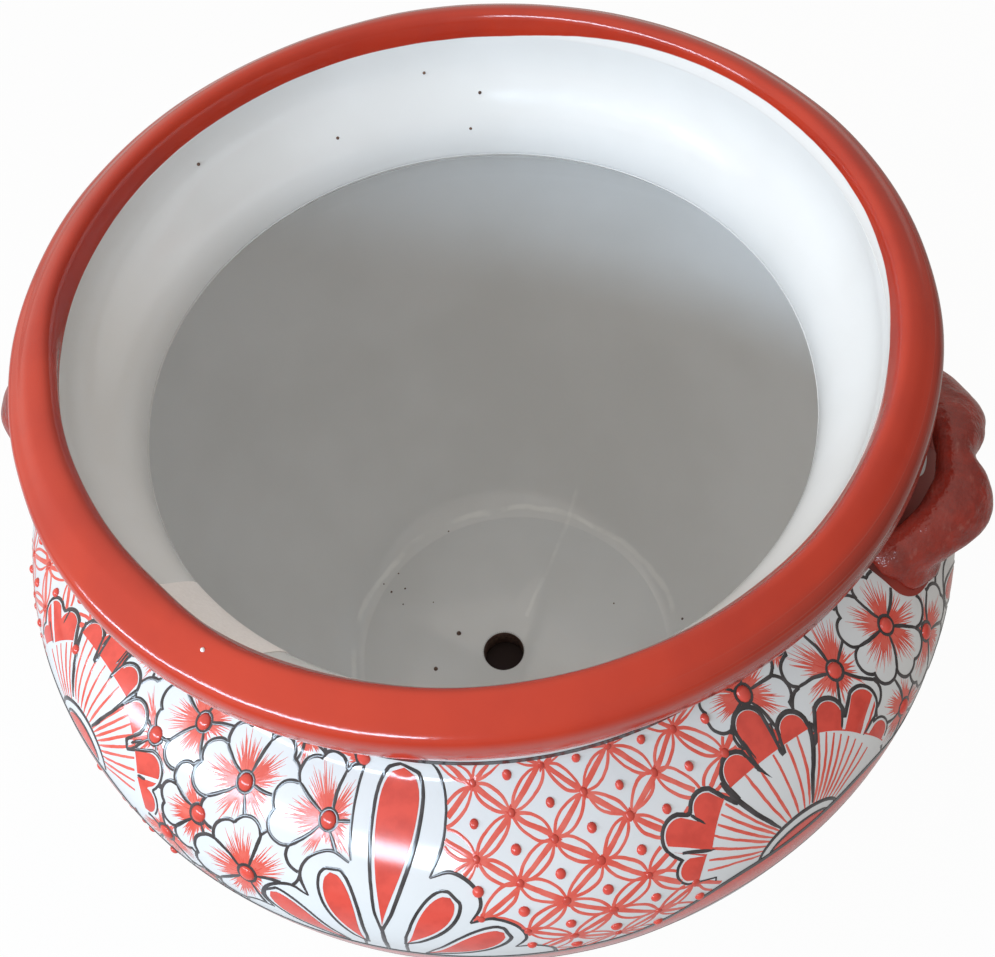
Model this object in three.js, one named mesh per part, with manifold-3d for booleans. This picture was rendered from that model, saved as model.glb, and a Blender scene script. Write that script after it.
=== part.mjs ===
// Round-bellied ceramic planter with a rolled rim and two finger-lobed strap handles.
// It is hand built from slab, wall rings, collar, rim coil and straps of clay, luted together.
// Millimetres, +Z up, origin on the ground at the middle of the foot.
import * as THREE from "three";
import { mergeVertices } from "three/addons/utils/BufferGeometryUtils.js";
import Module from "manifold-3d";

// Joints: the slip-filled space left between two pieces of clay
const seam = 0.3;

// Floor slab
const base_radius = 130;
const floor_thickness = 18;
const floor_rebate = 4;
const floor_radius = 112;
const drain_radius = 14;
const drain_shift = 8;
const drain_direction = -165;

// Belly
const belly_radius = 238.5;
const belly_height = 249;
const belly_wall = 14;
const shoulder_rise = 57;
const shoulder_drop = 28;
const throat_swell = 46;
const throat_tuck = 29;
const throat_flare = 21;

// Neck and collar
const throat_radius = 157;
const throat_height = 327;
const neck_wall = 23;
const collar_rise = 61;
const neck_flare = 5;
const collar_dish = 3;

// Rim coil
const mouth_radius = 175;
const lip_step = 2;
const rim_width = 21.4;
const coil_half_width = 14.2;
const coil_half_height = 20.5;
const crest_rise = 14;

// Strap handles, one each side
const handle_lean = 3;
const finger_gap = 31;
const strap_width = 25;
const pinch_width = 17;
const strap_height = 24;
const strap_drop = 10;
const strap_tilt = 0.3;
const lobe_angle = 4.5;
const shank_angle = 9.5;
const foot_angle = 13.5;
const root_angle = 17;
const foot_width = 30;
const root_width = 22;
const root_height = 12;
const pinch_rise = 1;
const shank_bow = 7;
const foot_lift = 3;
const root_sink = 2;

// Paper label, blank, stuck on the collar
const label_from = -132;
const label_to = -108;
const label_low = 9;
const label_high = 41;
const label_thickness = 0.5;
const label_paste = 0.2;

// Facets round the pot
const facets = 60;

// Heights and radii that follow from the sizes above
const collar_foot = throat_height + seam;
const rim_seat = throat_height + collar_rise;
const neck_radius = throat_radius + neck_wall;
const collar_outside = neck_radius + neck_flare;
const shoulder_foot = belly_height + seam;
const ledge_height = floor_thickness - floor_rebate;
const wall_foot = ledge_height + seam;

const wasm = await Module();
wasm.setup();

const white_glaze = () => new THREE.MeshStandardMaterial({ color: 0xe4eaf0, roughness: 0.2, metalness: 0 });
const red_glaze = () => new THREE.MeshStandardMaterial({ color: 0xc8412d, roughness: 0.2, metalness: 0 });
const paper = () => new THREE.MeshStandardMaterial({ color: 0xb9b3ac, roughness: 0.8, metalness: 0 });

// A closed outline of radius and height, turned about the pot's axis
function turned(outline, joined = true) {
  const points = joined ? [...outline, outline[0]] : outline;
  const geometry = new THREE.LatheGeometry(points, facets);
  geometry.rotateX(Math.PI / 2);
  return geometry;
}

// A three.js geometry as a solid that can be cut
function solid(geometry) {
  const bare = geometry.clone();
  bare.deleteAttribute("normal");
  bare.deleteAttribute("uv");
  const merged = mergeVertices(bare, 1e-4);
  const corners = Array.from(merged.index.array);
  const kept = [];
  for (let i = 0; i < corners.length; i += 3) {
    const [a, b, c] = corners.slice(i, i + 3);
    if (a !== b && b !== c && c !== a) {
      kept.push(a, b, c);
    }
  }
  return new wasm.Manifold(new wasm.Mesh({
    numProp: 3,
    vertProperties: new Float32Array(merged.attributes.position.array),
    triVerts: new Uint32Array(kept),
  }));
}

// A cut solid as a three.js geometry again
function geometry_of(body) {
  const mesh = body.getMesh();
  const geometry = new THREE.BufferGeometry();
  geometry.setAttribute("position", new THREE.BufferAttribute(new Float32Array(mesh.vertProperties), 3));
  geometry.setIndex(new THREE.BufferAttribute(new Uint32Array(mesh.triVerts), 1));
  geometry.computeVertexNormals();
  return geometry;
}

function named(name, geometry, material) {
  const mesh = new THREE.Mesh(geometry, material);
  mesh.name = name;
  return mesh;
}

// Lower half of the belly, outside and inside, each a quarter of an ellipse cut off by the floor
const outside_depth = belly_height / Math.sqrt(1 - (base_radius / belly_radius) ** 2);
const inside_radius = belly_radius - belly_wall;
const inside_depth = (belly_height - floor_thickness) / Math.sqrt(1 - (floor_radius / inside_radius) ** 2);

function lower_curve(radius, depth, from_height, count) {
  const start = -Math.asin((belly_height - from_height) / depth);
  return new THREE.EllipseCurve(0, belly_height, radius, depth, start, 0).getPoints(count);
}

// Upper half of the belly, from its widest ring in to the neck
const shoulder_outside = new THREE.CubicBezierCurve(
  new THREE.Vector2(belly_radius, shoulder_foot),
  new THREE.Vector2(belly_radius, shoulder_foot + shoulder_rise),
  new THREE.Vector2(neck_radius, throat_height - shoulder_drop),
  new THREE.Vector2(neck_radius, throat_height),
);
const shoulder_inside = new THREE.CubicBezierCurve(
  new THREE.Vector2(inside_radius, shoulder_foot),
  new THREE.Vector2(inside_radius, shoulder_foot + throat_swell),
  new THREE.Vector2(throat_radius + throat_flare, throat_height - throat_tuck),
  new THREE.Vector2(throat_radius, throat_height),
);

// The slab's edge is rebated: the wall stands on the ledge and closes round the raised floor
function floor_slab() {
  const ledge_outside = lower_curve(belly_radius, outside_depth, ledge_height, 1)[0];
  const ledge_inside = lower_curve(inside_radius, inside_depth, ledge_height, 1)[0];
  const disc = turned([
    new THREE.Vector2(0, 0),
    new THREE.Vector2(base_radius, 0),
    ledge_outside,
    new THREE.Vector2(ledge_inside.x - 2 * seam, ledge_height),
    new THREE.Vector2(floor_radius - 2 * seam, floor_thickness),
    new THREE.Vector2(0, floor_thickness),
  ], false);
  const drill = new THREE.CylinderGeometry(drain_radius, drain_radius, 3 * floor_thickness, 24);
  const turn = THREE.MathUtils.degToRad(drain_direction);
  drill.rotateX(Math.PI / 2);
  drill.translate(drain_shift * Math.cos(turn), drain_shift * Math.sin(turn), floor_thickness / 2);
  return named("floor_slab", geometry_of(solid(disc).subtract(solid(drill))), white_glaze());
}

function lower_wall() {
  const outside = lower_curve(belly_radius, outside_depth, wall_foot, 9);
  const nest_foot = lower_curve(inside_radius, inside_depth, wall_foot, 1)[0];
  const inside = lower_curve(inside_radius, inside_depth, floor_thickness, 8).reverse();
  return named("lower_wall", turned([...outside, ...inside, nest_foot]), white_glaze());
}

function upper_wall() {
  const outside = shoulder_outside.getPoints(9);
  const inside = shoulder_inside.getPoints(7).reverse();
  return named("upper_wall", turned([...outside, ...inside]), white_glaze());
}

// Inner face of the flaring collar, a shallow curve from the throat to the mouth
const collar_inside = new THREE.QuadraticBezierCurve(
  new THREE.Vector2(throat_radius, collar_foot),
  new THREE.Vector2((throat_radius + mouth_radius) / 2 + collar_dish, (collar_foot + rim_seat) / 2),
  new THREE.Vector2(mouth_radius, rim_seat),
);

const coil_centre_radius = mouth_radius + rim_width - coil_half_width;
const coil_centre_height = rim_seat + crest_rise - coil_half_height;
const coil_face = collar_outside + seam;
const tuck_angle = -Math.acos((coil_face - coil_centre_radius) / coil_half_width);
const tuck_height = coil_centre_height + coil_half_height * Math.sin(tuck_angle);

function neck_collar() {
  const inside = collar_inside.getPoints(4).reverse();
  return named("neck_collar", turned([
    new THREE.Vector2(neck_radius, collar_foot),
    new THREE.Vector2(neck_radius + neck_flare / 4, (collar_foot + tuck_height) / 2),
    new THREE.Vector2(collar_outside, tuck_height - seam),
    new THREE.Vector2(collar_outside, rim_seat),
    ...inside,
  ]), white_glaze());
}

// The rim coil caps the collar and hangs down outside it
function rim_roll() {
  const outer = new THREE.EllipseCurve(
    coil_centre_radius, coil_centre_height, coil_half_width, coil_half_height, tuck_angle, Math.PI / 2,
  ).getPoints(12);
  const lip_height = rim_seat + lip_step;
  const inner = new THREE.EllipseCurve(
    coil_centre_radius, lip_height,
    coil_centre_radius - mouth_radius, coil_centre_height + coil_half_height - lip_height,
    Math.PI / 2, Math.PI,
  ).getPoints(4).slice(1);
  return named("rim_roll", turned([
    ...outer,
    ...inner,
    new THREE.Vector2(mouth_radius, rim_seat + seam),
    new THREE.Vector2(coil_face, rim_seat + seam),
  ]), red_glaze());
}

// The clay that a handle is pressed against: shoulder and neck, a seam thicker all round
function pot_body() {
  const cover = 1.5 * seam;
  const skin = shoulder_outside.getPoints(9).map((p) => new THREE.Vector2(p.x + cover, p.y));
  return solid(turned([
    new THREE.Vector2(0, belly_height - cover),
    new THREE.Vector2(belly_radius + cover, belly_height - cover),
    ...skin,
    new THREE.Vector2(neck_radius + neck_flare / 4 + cover, (collar_foot + tuck_height) / 2),
    new THREE.Vector2(collar_outside + cover, tuck_height),
    new THREE.Vector2(0, tuck_height),
  ], false));
}

// Stations along half a strap: angle round the pot, radius, height, half width, half height
function strap_stations() {
  const grip = neck_radius + finger_gap;
  const top = throat_height - strap_drop;
  const foot = shoulder_outside.getPoint(0.52);
  const root = shoulder_outside.getPoint(0.58);
  const thick = strap_height / 2;
  return [
    [0, grip + pinch_width / 2, top + pinch_rise, pinch_width / 2, thick - pinch_rise],
    [lobe_angle, grip + strap_width / 2, top, strap_width / 2, thick],
    [shank_angle, (grip + foot.x) / 2 + shank_bow, (2 * top + foot.y) / 3, foot_width / 2, thick],
    [foot_angle, foot.x, foot.y + foot_lift, foot_width / 2, thick],
    [root_angle, root.x, root.y - root_sink, root_width / 2, root_height / 2],
  ];
}

// A rounded bar bent along the strap's line, then trimmed to the pot
function strap_handle(name, side) {
  const half = strap_stations();
  const all = [...half.slice(1).reverse().map(([angle, ...rest]) => [-angle, ...rest]), ...half];
  const line = new THREE.CatmullRomCurve3(all.map(([a, r, z]) => new THREE.Vector3(a, r, z)));
  const girth = new THREE.CatmullRomCurve3(all.map(([, , , w, h]) => new THREE.Vector3(w, h, 0)));
  const bar = new THREE.CylinderGeometry(1, 1, 1, 12, 24);
  const place = bar.attributes.position;
  for (let i = 0; i < place.count; i += 1) {
    const along = THREE.MathUtils.clamp(place.getY(i) + 0.5, 0, 1);
    const centre = line.getPoint(along);
    const size = girth.getPoint(along);
    const across = place.getX(i) * size.x;
    const radius = centre.y + across;
    const height = centre.z + place.getZ(i) * size.y - strap_tilt * across;
    const turn = THREE.MathUtils.degToRad(centre.x - handle_lean);
    place.setXYZ(i, radius * Math.cos(turn), radius * Math.sin(turn), height);
  }
  const trimmed = solid(bar).subtract(pot_body());
  const placed = side > 0 ? trimmed : trimmed.mirror([1, 0, 0]);
  return named(name, geometry_of(placed), red_glaze());
}

// A thin patch that follows the collar's inner face
function blank_label() {
  const columns = Math.round((label_to - label_from) / 6);
  const sheet = new THREE.BoxGeometry(1, 1, 1, columns, 1, 3);
  const place = sheet.attributes.position;
  for (let i = 0; i < place.count; i += 1) {
    const across = place.getX(i) + 0.5;
    const layer = place.getY(i) + 0.5;
    const up = place.getZ(i) + 0.5;
    const climb = THREE.MathUtils.lerp(label_low, label_high, up) / collar_rise;
    const wall = collar_inside.getPoint(climb);
    const radius = wall.x - seam - label_paste - (1 - layer) * label_thickness;
    const turn = THREE.MathUtils.degToRad(THREE.MathUtils.lerp(label_to, label_from, across));
    place.setXYZ(i, radius * Math.cos(turn), radius * Math.sin(turn), wall.y);
  }
  return named("blank_label", geometry_of(solid(sheet)), paper());
}

const planter = new THREE.Group();
planter.add(
  floor_slab(),
  lower_wall(),
  upper_wall(),
  neck_collar(),
  rim_roll(),
  strap_handle("handle_right", 1),
  strap_handle("handle_left", -1),
  blank_label(),
);

export default planter;
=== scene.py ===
# %% [markdown]
# # A hand-painted ceramic planter
# The real pot is a big round-bellied planter of white-glazed earthenware: a flared
# collar, a rolled red rim, two lobed red handles and a belly painted with flowers,
# fans, leaf fronds and a lattice. This lesson turns the clay pieces ring by ring,
# presses the handles, and then paints the belly with real brush strokes.

import math

import bpy
import numpy as np
from mathutils import Matrix, Vector
from mathutils.geometry import delaunay_2d_cdt


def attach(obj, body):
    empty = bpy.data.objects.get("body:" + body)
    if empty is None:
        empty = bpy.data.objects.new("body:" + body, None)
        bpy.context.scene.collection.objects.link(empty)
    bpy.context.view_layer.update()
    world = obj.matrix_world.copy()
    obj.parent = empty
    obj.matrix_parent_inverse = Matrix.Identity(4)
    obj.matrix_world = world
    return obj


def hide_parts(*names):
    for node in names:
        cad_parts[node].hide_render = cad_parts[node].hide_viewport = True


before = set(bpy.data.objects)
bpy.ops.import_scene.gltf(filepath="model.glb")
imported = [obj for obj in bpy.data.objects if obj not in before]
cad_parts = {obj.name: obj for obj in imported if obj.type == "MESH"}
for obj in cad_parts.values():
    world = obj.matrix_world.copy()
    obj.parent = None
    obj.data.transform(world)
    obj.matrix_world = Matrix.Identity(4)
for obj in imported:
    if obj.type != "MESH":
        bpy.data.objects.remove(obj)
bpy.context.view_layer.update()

# %% [markdown]
# ## The camera
# The picture was taken from close by, looking steeply down into the mouth with the
# camera rolled a little. A camera's place and three angles say that exactly. The
# angles were found in a frame turned by the handles' direction, so all is turned
# about the pot's axis at the end.

# %% Camera
front_turn = 15.0
lens = 41.608
eye = Vector((0, -0.32713, 0.76424))
pitch, yaw, roll = 1.0097422, 0.0104297, 0.1309966

ahead = Vector((math.sin(yaw) * math.cos(pitch), math.cos(yaw) * math.cos(pitch), -math.sin(pitch)))
right = ahead.cross(Vector((0, 0, 1))).normalized()
down = ahead.cross(right)
rolled_right = math.cos(roll) * right + math.sin(roll) * down
rolled_down = -math.sin(roll) * right + math.cos(roll) * down
to_frame = Matrix.Rotation(math.radians(front_turn), 4, "Z")
aim = Matrix((rolled_right, -rolled_down, -ahead)).transposed().to_4x4()
bpy.ops.object.select_all(action="DESELECT")
bpy.ops.object.camera_add()
camera = bpy.context.object
camera.matrix_world = to_frame @ Matrix.Translation(eye) @ aim
camera.data.lens = lens
camera.data.sensor_width = 36
camera.data.clip_start = 0.02
bpy.context.scene.camera = camera
print("camera at", [round(x, 3) for x in camera.matrix_world.translation])

# %% [markdown]
# ## Wiring a material
# A finish is a small network of nodes. Writing each Math node by hand hides the idea,
# so a wrapped socket lets sums be written as sums, and one method adds any other node.

# %% Sockets that can be added and multiplied
def feed(slot, value):
    if isinstance(value, Wire):
        slot.id_data.links.new(value.socket, slot)
    else:
        slot.default_value = value


def sum_node(tree, operation, *values):
    node = tree.nodes.new("ShaderNodeMath")
    node.operation = operation
    for slot, value in zip(node.inputs, values):
        feed(slot, value)
    return Wire(node.outputs[0])


class Wire:
    def __init__(self, socket):
        self.socket = socket
        self.tree = socket.id_data

    def __add__(self, other):
        return sum_node(self.tree, "ADD", self, other)

    def __sub__(self, other):
        return sum_node(self.tree, "SUBTRACT", self, other)

    def __rsub__(self, other):
        return sum_node(self.tree, "SUBTRACT", other, self)

    def __mul__(self, other):
        return sum_node(self.tree, "MULTIPLY", self, other)

    def __gt__(self, other):
        return sum_node(self.tree, "GREATER_THAN", self, other)

    def __lt__(self, other):
        return sum_node(self.tree, "LESS_THAN", self, other)

    def __abs__(self):
        return sum_node(self.tree, "ABSOLUTE", self)

    __radd__ = __add__
    __rmul__ = __mul__


class Finish:
    def __init__(self, name, colour, roughness):
        self.material = bpy.data.materials.new(name)
        self.material.use_nodes = True
        self.tree = self.material.node_tree
        self.shader = self.tree.nodes["Principled BSDF"]
        self.shader.inputs["Base Color"].default_value = (*colour, 1)
        self.shader.inputs["Roughness"].default_value = roughness

    def node(self, kind, settings=(), inputs=(), output=0):
        node = self.tree.nodes.new(kind)
        for name, value in dict(settings).items():
            setattr(node, name, value)
        for name, value in dict(inputs).items():
            feed(node.inputs[name], value)
        return Wire(node.outputs[output])

    def place(self):
        return self.node("ShaderNodeTexCoord", output="Object")

    def grain(self, scale, detail=2.0, roughness=0.5):
        look = {"Vector": self.place(), "Scale": scale, "Detail": detail, "Roughness": roughness}
        return self.node("ShaderNodeTexNoise", inputs=look)

    def soft_step(self, value, low, high):
        ends = {"Value": value, "From Min": low, "From Max": high}
        return self.node("ShaderNodeMapRange", {"interpolation_type": "SMOOTHSTEP"}, ends)

    def blend(self, share, first, second):
        return self.node("ShaderNodeMix", {"data_type": "RGBA"}, {0: share, 6: first, 7: second}, 2)

    def height(self):
        return self.node("ShaderNodeSeparateXYZ", inputs={0: self.place()}, output=2)

    def reach(self):
        """Distance from the pot's axis."""
        flat = self.node("ShaderNodeVectorMath", {"operation": "MULTIPLY"}, {0: self.place(), 1: (1, 1, 0)})
        return self.node("ShaderNodeVectorMath", {"operation": "LENGTH"}, {0: flat}, 1)

    def toward(self, x, y):
        """Distance from the axis in one direction only."""
        return self.node("ShaderNodeVectorMath", {"operation": "DOT_PRODUCT"}, {0: self.place(), 1: (x, y, 0)}, 1)

    def colour(self, value):
        feed(self.shader.inputs["Base Color"], value)

    def dent(self, height, depth):
        bump = self.node("ShaderNodeBump", inputs={"Height": height, "Distance": depth, "Strength": 1.0})
        feed(self.shader.inputs["Normal"], bump)

# %% [markdown]
# ## Glazes and paints
# White tin glaze is glossy and pools a little, so its reflections wobble and its
# tone drifts towards grey. The red rim is painted darker on its outer shoulder at the
# right, a painted shade, with pale streaks of painted reflection in it. The paints
# lie under the same clear coat: strong red, a thinner wash, and warm black.

# %% White glaze
def white_glaze(name, full, thin):
    glaze = Finish(name, full, 0.10)
    drift = glaze.soft_step(glaze.grain(9, 3), 0.35, 0.7)
    shade = glaze.blend(drift, (*full, 1), (*thin, 1))
    glaze.colour(with_slab_seams(glaze, shade))
    glaze.dent(glaze.grain(22, 1) + glaze.grain(90, 2) * 0.12, 0.0007)
    return glaze.material


def with_slab_seams(glaze, shade):
    """The glaze is paler where slabs were joined: round the floor, and along one spoke of it."""
    across, ahead, height = glaze.toward(0.972, -0.233), glaze.toward(0.233, 0.972), glaze.height()
    shake = (glaze.grain(28, 3) - 0.5) * 0.009
    ring = 1 - glaze.soft_step(abs(glaze.reach() + shake - 0.1135), 0.0006, 0.0026)
    spoke = (1 - glaze.soft_step(abs(across + shake), 0.0004, 0.0022)) * (ahead > 0.026) * (ahead < 0.15)
    patchy = glaze.soft_step(glaze.grain(40, 3), 0.35, 0.6)
    share = (ring + spoke * 0.7) * patchy * (height < 0.06) * (height > 0.016)
    return glaze.blend(share * 0.6, shade, (0.96, 0.96, 0.94, 1))


# %% Red glazes of the rim and the handles
def red_glaze():
    """Red, painted darker round its outer shoulder at the right as painted shade, with pale painted reflection streaks
    there; it stops a little higher at one side of the mouth.
    """
    glaze = Finish("red_glaze", (0.45, 0.03, 0.01), 0.13)
    reach, height = glaze.reach(), glaze.height()
    drift = glaze.soft_step(glaze.grain(26, 4), 0.3, 0.72)
    shade = glaze.blend(drift, (0.45, 0.030, 0.0095, 1), (0.385, 0.023, 0.0085, 1))
    rings = glaze.node("ShaderNodeCombineXYZ", inputs={0: reach * 900.0 + glaze.grain(5, 1) * 6.0, 1: height * 300.0})
    streak = glaze.node("ShaderNodeTexNoise", inputs={"Vector": rings, "Scale": 1.0, "Detail": 3.0})
    streak = glaze.soft_step(streak, 0.5, 0.66)
    # painted shade: the outer shoulder on the right side is darkened, and pale painted reflection streaks are laid over
    # it
    side = glaze.soft_step(reach, 0.1885, 0.1955) * glaze.soft_step(glaze.toward(0.94, 0.34), 0.0, 0.14)
    shade = glaze.blend(side * 0.75, shade, (0.17, 0.022, 0.014, 1))
    shade = glaze.blend(side * streak * 0.5, shade, (0.30, 0.085, 0.060, 1))
    climb = glaze.soft_step(glaze.toward(0.766, 0.643), 0.10, 0.172) * 0.0062
    edge = climb + 0.3882 + (glaze.grain(60, 2) - 0.5) * 0.0008
    bare = glaze.soft_step(edge - height, -0.0003, 0.0003) * (reach < 0.1785)
    glaze.colour(glaze.blend(bare, shade, (0.80, 0.79, 0.78, 1)))
    glaze.dent(glaze.grain(30, 2) + glaze.grain(420, 2) * 0.05 + side * streak * 0.25, 0.0006)
    return glaze.material


def handle_glaze():
    glaze = Finish("handle_glaze", (0.27, 0.022, 0.012), 0.22)
    drift = glaze.soft_step(glaze.grain(90, 6, 0.6), 0.35, 0.68)
    shade = glaze.blend(drift, (0.27, 0.022, 0.012, 1), (0.185, 0.017, 0.011, 1))
    slant = glaze.node("ShaderNodeMapping", inputs={"Vector": glaze.place(), "Scale": (260, 90, 200)})
    streak = glaze.node("ShaderNodeTexNoise", inputs={"Vector": slant, "Scale": 1.0, "Detail": 4.0})
    worn = glaze.soft_step(streak, 0.56, 0.74) * glaze.soft_step(glaze.grain(60, 3), 0.42, 0.62)
    glaze.colour(glaze.blend(worn * 0.6, shade, (0.36, 0.13, 0.10, 1)))
    glaze.dent(glaze.grain(60, 5, 0.6) + glaze.grain(240, 3) * 0.25, 0.0016)
    return glaze.material


def handle_ground_and_painted_shade():
    """The red the handles stand in, dull, and painted dark where it runs up behind them: painted shade."""
    glaze = Finish("handle_ground_and_painted_shade", (0.25, 0.022, 0.012), 0.5)
    # painted shade: higher up, behind the handles, the red turns dark
    behind = glaze.soft_step(glaze.height(), 0.299, 0.308)
    glaze.colour(glaze.blend(behind, (0.25, 0.022, 0.012, 1), (0.085, 0.010, 0.008, 1)))
    return glaze.material


# %% Paints, paper and bare clay
def paint(name, full, thin, roughness=0.13):
    coat = Finish(name, full, roughness)
    brush = coat.soft_step(coat.grain(140, 4), 0.35, 0.72)
    coat.colour(coat.blend(brush, (*full, 1), (*thin, 1)))
    return coat.material


def label_paper():
    sheet = Finish("label_paper", (0.92, 0.89, 0.87), 0.75)
    fibre = sheet.soft_step(sheet.grain(700, 3), 0.3, 0.7)
    sheet.colour(sheet.blend(fibre, (0.94, 0.90, 0.88, 1), (0.88, 0.84, 0.82, 1)))
    return sheet.material


def bare_clay():
    clay = Finish("bare_clay", (0.16, 0.09, 0.06), 0.8)
    grit = clay.soft_step(clay.grain(500, 4), 0.3, 0.7)
    clay.colour(clay.blend(grit, (0.18, 0.10, 0.07, 1), (0.08, 0.045, 0.035, 1)))
    clay.dent(clay.grain(900, 3), 0.0004)
    return clay.material


# %% Mix all the finishes
white = white_glaze("white_glaze", (0.80, 0.806, 0.806), (0.745, 0.748, 0.742))
ground_white = white_glaze("painted_ground", (0.615, 0.63, 0.645), (0.58, 0.59, 0.60))
red = red_glaze()
handle_red = handle_glaze()
foot_red_and_painted_shade = handle_ground_and_painted_shade()
paint_red = paint("paint_red", (0.62, 0.065, 0.045), (0.52, 0.05, 0.035))
paint_wash = paint("paint_wash", (0.60, 0.078, 0.054), (0.64, 0.13, 0.10))
paint_knot = paint("paint_knot", (0.47, 0.045, 0.030), (0.54, 0.065, 0.045))
paint_black = paint("paint_black", (0.030, 0.026, 0.028), (0.060, 0.052, 0.056))
paper = label_paper()
clay = bare_clay()
finishes = (white, ground_white, red, handle_red, foot_red_and_painted_shade, paint_red, paint_wash, paint_knot, paint_black, paper, clay)
print("finishes", [m.name for m in finishes])

# %% [markdown]
# ## The pot's outline
# Everything turned shares one outline, in millimetres of radius and height. Outside,
# one drawn curve runs from the foot to the widest ring and a second one, S-shaped,
# draws in to the neck; the lower wall's inside is a quarter of an ellipse. The paint
# needs the same outline, so it is worked out once. Real pots are never quite round:
# this belly bulges two millimetres to its left and is a little flat at both sides.

# %% Outline curves
belly_radius, belly_height, belly_wall = 238.5, 249.0, 14.0
base_radius, floor_radius, floor_top = 130.0, 112.0, 18.0
neck_radius, throat_radius, throat_height = 180.0, 157.0, 327.0
mouth_radius, collar_top, collar_outside = 175.0, 388.15, 185.3
low_joint, high_joint = 14.15, 249.15


def drawn_curve(count, *ends):
    t = np.linspace(0, 1, count)[:, None]
    a, b, c, d = (np.array(e, float) for e in ends)
    return (1 - t) ** 3 * a + 3 * t * (1 - t) ** 2 * b + 3 * t * t * (1 - t) * c + t**3 * d


def run_along(line):
    """How far along a line each of its points lies."""
    return np.concatenate([[0], np.cumsum(np.hypot(*np.diff(line, axis=0).T))])


def rounded(points, count):
    """A smooth line through a few points, evenly stepped."""
    p = np.asarray(points, float)
    ring = np.vstack([2 * p[0] - p[1], p, 2 * p[-1] - p[-2]])
    t = np.linspace(0, 1, 16, endpoint=False)[:, None]
    runs = [
        0.5 * (2 * b + (c - a) * t + (2 * a - 5 * b + 4 * c - d) * t**2 + (3 * b - a - 3 * c + d) * t**3)
        for a, b, c, d in zip(ring, ring[1:], ring[2:], ring[3:])
    ]
    line = np.vstack([*runs, p[-1:]])
    reach = run_along(line)
    steps = np.linspace(0, reach[-1], count)
    return np.stack([np.interp(steps, reach, line[:, k]) for k in (0, 1)], 1)


# %% Bowl shape, and rings that carry the shading on
def bowl_curve(radius, at_radius, at_height, from_height, count):
    depth = (belly_height - at_height) / math.sqrt(1 - (at_radius / radius) ** 2)
    start = -math.asin((belly_height - from_height) / depth)
    turn = np.linspace(start, 0, count)
    return np.stack([radius * np.cos(turn), belly_height + depth * np.sin(turn)], 1)


def with_close_ends(line, gap=0.25):
    """Two more rings just inside the ends, so that the shading runs on into the next piece."""
    first = line[0] + (line[1] - line[0]) * gap / np.linalg.norm(line[1] - line[0])
    last = line[-1] + (line[-2] - line[-1]) * gap / np.linalg.norm(line[-2] - line[-1])
    return np.vstack([line[:1], first, line[1:-1], last, line[-1:]])


# %% The pot's own outline
low_outside = drawn_curve(48, (base_radius, 0), (204, 60), (belly_radius, 199), (belly_radius, belly_height))
low_outside[-1, 1] = high_joint
low_inside = bowl_curve(belly_radius - belly_wall, floor_radius, floor_top, floor_top, 40)
low_inside[-1, 1] = high_joint
shoulder = drawn_curve(
    60, (belly_radius, high_joint), (belly_radius, 306.3), (neck_radius, 299), (neck_radius, throat_height)
)
under_neck = [(205.0, 301.6), (198.0, 305.5), (190.9, 309.2), (185.6, 311.9), (182.4, 314.3), (180.8, 317.2),
              (180.2, 320.5), (neck_radius, throat_height)]
high_outside = rounded([*shoulder[shoulder[:, 0] > 210][::4], *under_neck], 56)
high_inside = drawn_curve(26, (224.5, high_joint), (224.5, 295.3), (178, 298), (throat_radius, throat_height))
neck_outside = np.array([(180, 327), (180.3, 333), (181.2, 344), (182.9, 353), (185.3, 361.5)])

shoulder_line = np.vstack([neck_outside[::-1], high_outside[::-1][1:]])
whole_line = np.vstack([shoulder_line, low_outside[::-1][1:]])
fine = run_along(whole_line)
widest = fine[len(shoulder_line) - 1]
line_steps = np.linspace(0, fine[-1], 3000)
line_places = np.stack([np.interp(line_steps, fine, whole_line[:, k]) for k in (0, 1)], 1)
line_slopes = np.gradient(line_places, line_steps, axis=0)
kernel = np.ones(41) / 41
for k in (0, 1):
    line_slopes[20:-20, k] = np.convolve(line_slopes[:, k], kernel, "valid")
print("outline", round(fine[-1], 1), "mm long, widest ring at", round(widest, 1))


# %% Any place along the outline
def skin(rise):
    """Radius, height and outward normal at a distance along the outline, up from the widest ring."""
    down = widest - np.asarray(rise, float)
    radius, height = (np.interp(down, line_steps, line_places[:, k]) for k in (0, 1))
    slope_r, slope_z = (np.interp(down, line_steps, line_slopes[:, k]) for k in (0, 1))
    length = np.hypot(slope_r, slope_z)
    return radius, height, -slope_z / length, slope_r / length


# %% Read and write a piece's vertices, and press it out of round, in metres
left_bulge, side_flatness, front_bulge = 0.0021, 0.0028, 0.0006


def places_of(piece):
    spots = np.zeros(len(piece.data.vertices) * 3)
    piece.data.vertices.foreach_get("co", spots)
    return spots.reshape(-1, 3)


def put_back(piece, spots):
    piece.data.vertices.foreach_set("co", spots.ravel())
    piece.data.update()


def soft_edge(value):
    value = np.clip(value, 0, 1)
    return value * value * (3 - 2 * value)


def out_of_round(piece):
    """Pushes a finished piece out on one side and in on the other, and a little oval, most at the widest ring."""
    spots = places_of(piece)
    radius = np.hypot(spots[:, 0], spots[:, 1])
    height = spots[:, 2] * 1000
    share = soft_edge(np.minimum((326 - height) / 45, (height - 15) / 60))
    turn = np.arctan2(spots[:, 1], spots[:, 0]) - math.radians(180 + front_turn)
    push = left_bulge * np.cos(turn) - side_flatness * np.cos(turn) ** 2 + front_bulge
    spots[:, :2] *= (1 + share * push / np.maximum(radius, 0.01))[:, None]
    put_back(piece, spots)


# %% [markdown]
# ## Turned pieces
# A potter builds this pot from a slab, rings of wall and a collar. Here each ring is a
# circle, extruded along the outline step by step and scaled about the axis, until
# it closes on itself. A spin would do too, but extruding keeps every ring a true circle.

# %% Turn a closed ring from its outline
turns = 288


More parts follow.
